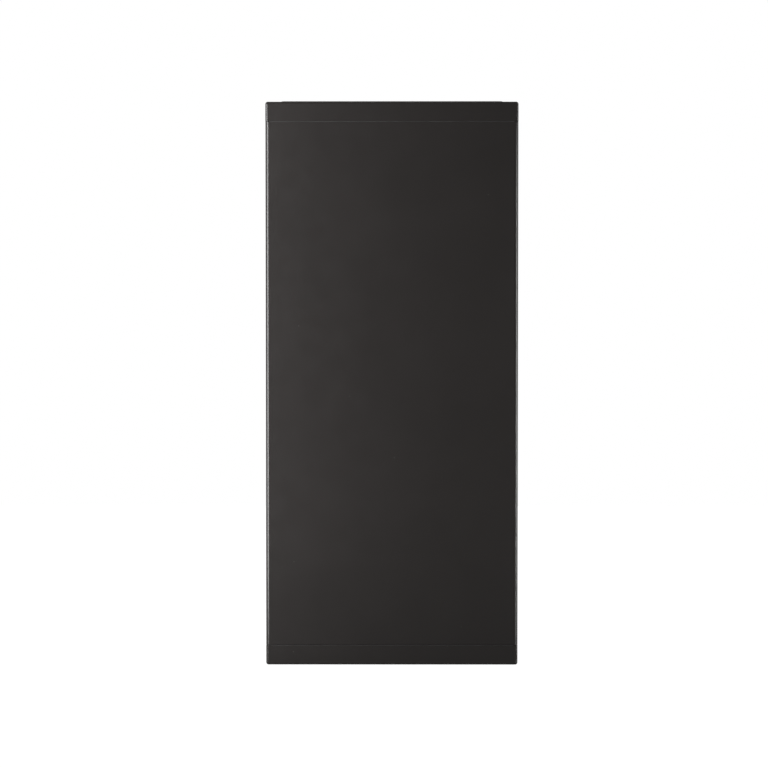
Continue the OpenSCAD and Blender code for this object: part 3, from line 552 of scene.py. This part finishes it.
def screw_set(name, node, head, height, shank, dome, slot):
    """Socket screws in place of a node's plain ones; each head is at the end where the solid is wide."""
    bm = bmesh.new()
    for points in solids(node):
        low, high = corners(points)
        size, middle = high - low, (low + high) / 2
        along = max(range(3), key=lambda i: min(abs(size[i] - size[j]) for j in range(3) if j != i))
        axis = Vector([float(i == along) for i in range(3)])
        reach = size[along] / 2

        def width(side):
            ends = [p for p in points if abs((p - middle).dot(axis) - side * reach) < 0.1 * MM]
            return max((p - middle - axis * side * reach).length for p in ends)

        axis = axis if width(1) > width(-1) else -axis
        seat = middle + axis * (reach - height)
        socket_screw(bm, seat, axis, head, height, shank, 2 * reach - height, dome)
    piece(name, bm, slot, stands_for=(node,))


screw_set("button_head_screws", "case_screws", 4.5 * MM, 1.8 * MM, 2.5 * MM, 0.35, "black_screw")
screw_set("cap_head_lock_screws", "lock_screws", 5 * MM, 4 * MM, 3 * MM, 0.1, "screw_steel")


def seam_welds():
    """Stitch welds along the feet of the chassis's rear stiffeners, and plug welds on the hook rail."""
    bm = bmesh.new()
    low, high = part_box("hook_rail")
    foot_x, bead, stitch = (135 * MM, 185 * MM), 1.3 * MM, 8 * MM
    long_feet = [(-455 + 66 * i) * MM for i in range(12)]
    short_feet = [(370 + 50 * i) * MM for i in range(3)]
    profile = ((-1, 0.25), (-0.8, 0.8), (-0.4, 1), (0, 0.9), (0.4, 1), (0.8, 0.8), (1, 0.25))
    for z in long_feet + short_feet:
        for x in foot_x:
            for side in (-1, 1):
                centre = Vector((side * x, low.y, z))
                loft(bm, [ring(centre + Z * stitch * h, Z, bead * r, count=10) for h, r in profile])
    plug, flange_y, first, pitch, below_top = 3.4 * MM, low.y + 3 * MM, 20 * MM, 42.5 * MM, 9 * MM
    for i in range(9):
        centre = Vector((low.x + first + pitch * i, flange_y, high.z - below_top))
        rings = [(-0.5, 1.0), (0.1, 1.0), (0.35, 0.86), (0.3, 0.6), (0.15, 0.3)]
        loft(bm, [ring(centre + Y * h * MM, Y, plug * r) for h, r in rings])
    piece("seam_welds", bm, "chassis_coat")


def cover_lining():
    """Two folded ribs up the inside of the front cover and three damping pads between them."""
    low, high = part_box("front_cover")
    skin = low.y + 1.5 * MM
    rib_x, rib_inset = 130 * MM, 40 * MM
    outline = [(-22, 0), (-22, 1), (-13, 1), (-9, 5.4), (9, 5.4), (13, 1), (22, 1), (22, 0)]
    ends = (low.z + rib_inset, high.z - rib_inset)
    bm = bmesh.new()
    for x in (-rib_x, rib_x):
        loft(bm, [[Vector((x + a * MM, skin + b * MM, z)) for a, b in outline] for z in ends])
    piece("cover_ribs", bm, "zinc_steel", "cover", edge=0.2 * MM)
    pad_half_w, pad_half_h, pad_t, pad_pitch = 90 * MM, 130 * MM, 1.6 * MM, 340 * MM
    bm = bmesh.new()
    for z in (-pad_pitch, 0.0, pad_pitch):
        brick(bm, (-pad_half_w, skin, z - pad_half_h), (pad_half_w, skin + pad_t, z + pad_half_h))
    piece("damping_pads", bm, "rubber", "cover", edge=0.5 * MM)


def band_seals():
    """A crimped seal on the front of each steel band."""
    bm = bmesh.new()
    seal_x, crimp, proud, lip = 138 * MM, 6 * MM, 0.7 * MM, 0.6 * MM
    for points in solids("module_straps"):
        low, high = corners(points)
        for i in range(5):
            x = seal_x + crimp * i
            front = low.y - proud - (0.3 * MM if i % 2 else 0)
            brick(bm, (x - crimp / 2, front, low.z - lip), (x + crimp / 2, low.y, high.z + lip))
    piece("band_seals", bm, "zinc_steel", edge=0.2 * MM)


def surface_parts():
    """Chips, resistors and capacitors on the free places of the circuit boards."""
    dark, pale = bmesh.new(), bmesh.new()
    kinds = (
        (dark, 4.6, 3.8, 1.1),
        (dark, 3.2, 1.7, 0.6),
        (pale, 2.2, 1.3, 0.9),
        (pale, 1.7, 0.9, 0.6),
        (dark, 6, 6, 1.2),
    )
    column_pitch, row_pitch, flat = 7 * MM, 5 * MM, 0.1 * MM
    faces = [("bms_board", corners(solids("bms_board")[0]), 13.6 * MM)]
    faces += [("sense_boards", corners(points), 6 * MM) for points in solids("sense_boards")]
    for node, (low, high), stand in faces:
        face_y = high.y - stand
        for row in range(int((high.z - low.z) / row_pitch)):
            for column in range(int((high.x - low.x) / column_pitch)):
                bm, w, h, t = chance.choice(kinds)
                x = low.x + column_pitch * column + (4 + chance.uniform(-0.4, 0.4)) * MM
                z = low.z + row_pitch * row + 3.5 * MM
                half_w, half_h = w * MM / 2, h * MM / 2
                around = [(a * half_w * 1.3, b * half_h * 1.3) for a in (-1, 0, 1) for b in (-1, 0, 1)]
                hits = [nodes[node].ray_cast(Vector((x + a, low.y - 10 * MM, z + b)), Y) for a, b in around]
                free = all(hit[0] and abs(hit[1].y - face_y) < flat for hit in hits)
                if chance.random() < 0.8 and free:
                    brick(bm, (x - half_w, face_y - t * MM, z - half_h), (x + half_w, face_y, z + half_h))
    piece("board_chips", dark, "black_plastic", edge=0.12 * MM)
    piece("board_capacitors", pale, "ceramic_body", edge=0.1 * MM)


def board_fittings():
    """Plugs, relays, capacitors and chips, each over its plain block on a board."""
    skin = 0.15 * MM
    plugs, blocks = bmesh.new(), bmesh.new()

    def fit(bm, corner, x, y, z):
        """A brick between millimetre places measured from a board's corner, grown by the skin."""
        low, high = (corner + Vector(ends) * MM for ends in zip(x, y, z))
        brick(bm, low - Vector((skin, skin, skin)), high + Vector((skin, 0, skin)))

    for points in solids("sense_boards"):
        low, high = corners(points)
        corner = Vector((0, high.y, low.z))
        for x in (-60, 60):
            for z in (2, 29):
                fit(plugs, corner, (x - 12, x + 12), (-13, -6), (z, z + 9))
        for x in (-75, -25, 25, 75):
            fit(blocks, corner, (x - 6, x + 6), (-8, -6), (14, 26))
        fit(blocks, corner, (-8, 8), (-9, -6), (12, 28))
    low, high = corners(solids("bms_board")[0])
    corner = Vector((low.x, high.y, low.z))
    for z in (9, 33, 57, 81):
        fit(plugs, corner, (94, 104), (-25, -13.6), (z, z + 18))
    for x in (8, 30):
        fit(blocks, corner, (x, x + 18), (-31, -13.6), (14, 40))
    fit(blocks, corner, (30, 54), (-16, -13.6), (62, 86))
    cans = bmesh.new()
    for z in (60, 76, 92):
        centre = corner + Vector((16, -13.6, z)) * MM
        profile = (
            (0, 6.1), (1.2, 6.1), (1.6, 5.7), (2, 6.1), (15, 6.1), (15.5, 5.6), (15.5, 4.6), (15.3, 4.4),
        )
        loft(cans, [ring(centre - Y * h * MM, Y, r * MM) for h, r in profile])
    piece("board_plugs", plugs, "white_plastic", edge=0.4 * MM)
    piece("board_blocks", blocks, "black_plastic", edge=0.3 * MM)
    piece("board_cans", cans, "screw_steel")


def seam_painted_highlights():
    """Pale strips that paint edge highlights at the two seams: on the front cover's top edge, and along the
    bottom cap's top corner.
    """
    low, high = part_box("front_cover")
    cap_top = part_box("bottom_cap")[1].z
    top_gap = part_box("top_cap")[0].z - high.z - 0.03 * MM
    on_edge = [(1.45, -0.5), (1.45, 0.9), (1.2, 1), (0.55, 1), (0.38, 0.9), (0.3, 0.6), (0.3, -0.5)]
    on_corner = [(0.5, -0.5), (0.5, -0.02), (0.1, -0.02), (0.03, -0.09), (0.03, -0.42), (0.1, -0.5)]
    ends = (low.x + 9 * MM, high.x - 9 * MM)
    # The outlines run in millimetres back from the cover's face, and upwards in the unit given beside them.
    for name, foot, unit, outline, body in (
        ("cover_edge_painted_highlight", high.z, top_gap, on_edge, "cover"),
        ("cap_edge_painted_highlight", cap_top, MM, on_corner, "cabinet"),
    ):
        bm = bmesh.new()
        loft(bm, [[Vector((x, low.y + a * MM, foot + b * unit)) for a, b in outline] for x in ends])
        # Each strip is a painted highlight: a pale sliver in grey rubber that stands in for the light
        # caught by the seam's edge.
        piece(name, bm, "rubber", body, look="grey_rubber")


def cable_clips():
    """Saddles that hold the rising lead to the chassis wall, and ties round the upright looms."""
    wall_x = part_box("module_shelves")[0].x
    bm = bmesh.new()

    def sleeve(centre, profile):
        loft(bm, [ring(centre + Z * h * MM, Z, r * MM) for h, r in profile])

    saddle = Vector((0, 6, 5)) * MM
    for z in (-250, -30, 190, 410):
        centre = Vector((-239, -168, z)) * MM
        edge = Vector((centre.x - 3 * MM, centre.y, centre.z))
        brick(bm, Vector((wall_x, centre.y, centre.z)) - saddle, edge + saddle)
        sleeve(centre, ((-2.4, 3.4), (-2.2, 4.2), (2.2, 4.2), (2.4, 3.4)))
    loom_x, loom_y, upright = -60 * MM, -172 * MM, 6 * MM
    for points in solids("signal_looms"):
        low, high = corners(points)
        if high.x - low.x < upright:
            for share in (0.3, 0.7):
                centre = Vector((loom_x, loom_y, low.z + (high.z - low.z) * share))
                sleeve(centre, ((-1.4, 2.3), (-1.2, 2.9), (1.2, 2.9), (1.4, 2.3)))
                brick(bm, centre + Vector((-2, -4.4, -1.8)) * MM, centre + Vector((2, -2, 1.8)) * MM)
    piece("cable_clips", bm, "black_plastic", edge=0.2 * MM)


def socket_contacts():
    """Eight sprung contacts in each service socket."""
    bm = bmesh.new()
    low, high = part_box("comm_sockets")
    middle = (low + high) / 2
    contact_pitch, socket_y = 1.1 * MM, 8.2 * MM
    for socket in (-socket_y, socket_y):
        for i in range(8):
            y = middle.y + socket + contact_pitch * (i - 3.5)
            brick(
                bm,
                (low.x + 4.5 * MM, y - 0.3 * MM, middle.z - 5.1 * MM),
                (high.x - 2 * MM, y + 0.3 * MM, middle.z - 4.4 * MM),
            )
    piece("socket_contacts", bm, "brass", edge=0.1 * MM)


seam_welds()
cover_lining()
band_seals()
surface_parts()
board_fittings()
seam_painted_highlights()
cable_clips()
socket_contacts()


# ---- Stage: floor, light and camera ----

def world_light():
    """White to the eye. As a light it is bright behind the unit, as off a white wall, and dim elsewhere."""
    world = bpy.data.worlds.new("studio")
    bpy.context.scene.world = world
    world.use_nodes = True
    tree = world.node_tree
    tree.nodes.clear()
    add = tree.nodes.new
    out, seen, lit = add("ShaderNodeOutputWorld"), add("ShaderNodeBackground"), add("ShaderNodeBackground")
    mix, path, where = add("ShaderNodeMixShader"), add("ShaderNodeLightPath"), add("ShaderNodeTexCoord")
    behind = add("ShaderNodeVectorMath")
    behind.operation = "DOT_PRODUCT"
    behind.inputs[1].default_value = (0, 1, -0.7)
    level = add("ShaderNodeMapRange")
    for key, value in (("From Min", -0.1), ("From Max", 0.7), ("To Min", 0.2), ("To Max", 0.9)):
        level.inputs[key].default_value = value
    link = tree.links.new
    link(where.outputs["Generated"], behind.inputs[0])
    link(behind.outputs["Value"], level.inputs["Value"])
    link(level.outputs[0], lit.inputs["Strength"])
    seen.inputs["Strength"].default_value = 1.0
    link(path.outputs["Is Camera Ray"], mix.inputs[0])
    link(lit.outputs[0], mix.inputs[1])
    link(seen.outputs[0], mix.inputs[2])
    link(mix.outputs[0], out.inputs["Surface"])
    for node in (seen, lit):
        node.inputs["Color"].default_value = (1, 1, 1, 1)


def pale_floor():
    """A wide white floor, below where such a unit hangs."""
    drop, reach = 0.5, 9.0
    floor_z = LOW.z - drop
    mesh = bpy.data.meshes.new("floor")
    outline = [(-reach, -reach), (reach, -reach), (reach, reach), (-reach, reach)]
    mesh.from_pydata([(x, y, floor_z) for x, y in outline], [], [(0, 1, 2, 3)])
    floor = bpy.data.objects.new("floor", mesh)
    bpy.context.scene.collection.objects.link(floor)
    material = bpy.data.materials.new("floor_paint")
    material.use_nodes = True
    shader = material.node_tree.nodes["Principled BSDF"]
    shader.inputs["Base Color"].default_value = (0.86, 0.86, 0.85, 1)
    shader.inputs["Roughness"].default_value = 0.9
    shader.inputs["Emission Color"].default_value = (1, 1, 1, 1)
    path = material.node_tree.nodes.new("ShaderNodeLightPath")
    glow = material.node_tree.nodes.new("ShaderNodeMath")
    glow.operation = "MULTIPLY"
    glow.inputs[1].default_value = 0.8
    material.node_tree.links.new(path.outputs["Is Camera Ray"], glow.inputs[0])
    material.node_tree.links.new(glow.outputs[0], shader.inputs["Emission Strength"])
    mesh.materials.append(material)


def soft_light(name, place, target, width, height, power, spread):
    """A softbox with a grid that keeps its beam within `spread` degrees."""
    data = bpy.data.lights.new(name, "AREA")
    data.shape = "RECTANGLE"
    data.size, data.size_y = width, height
    data.energy = power
    data.spread = math.radians(spread)
    light = bpy.data.objects.new(name, data)
    light.location = place
    light.rotation_mode = "QUATERNION"
    light.rotation_quaternion = (Vector(target) - Vector(place)).to_track_quat("-Z", "Y")
    light.visible_camera = False
    bpy.context.scene.collection.objects.link(light)


def studio_camera():
    """A long lens a little above the unit's middle, with the unit just right of the frame's centre."""
    distance, pitch, yaw = 4.3, math.radians(1.84), math.radians(0.212)
    unit_in_frame = 0.32899
    sensor = 36.0
    data = bpy.data.cameras.new("camera")
    data.sensor_width = sensor
    data.lens = sensor * distance * unit_in_frame / (HIGH.x - LOW.x)
    camera = bpy.data.objects.new("camera", data)
    camera.location = (CENTRE.x, FRONT - distance, CENTRE.z + distance * math.tan(pitch))
    camera.rotation_euler = (math.pi / 2 - pitch, 0, yaw)
    bpy.context.scene.collection.objects.link(camera)
    bpy.context.scene.camera = camera


world_light()
pale_floor()
soft_light(
    "left_softbox", place=(-0.87, -0.745, 0.18), target=(-0.4, FRONT, 0.17),
    width=0.66, height=1.5, power=5.35, spread=60,
)
soft_light(
    "right_strip", place=(1.35, -0.65, -0.05), target=(0.5, FRONT, 0),
    width=0.1, height=1.2, power=0.9, spread=30,
)
studio_camera()
bpy.context.scene.view_settings.view_transform = "Standard"
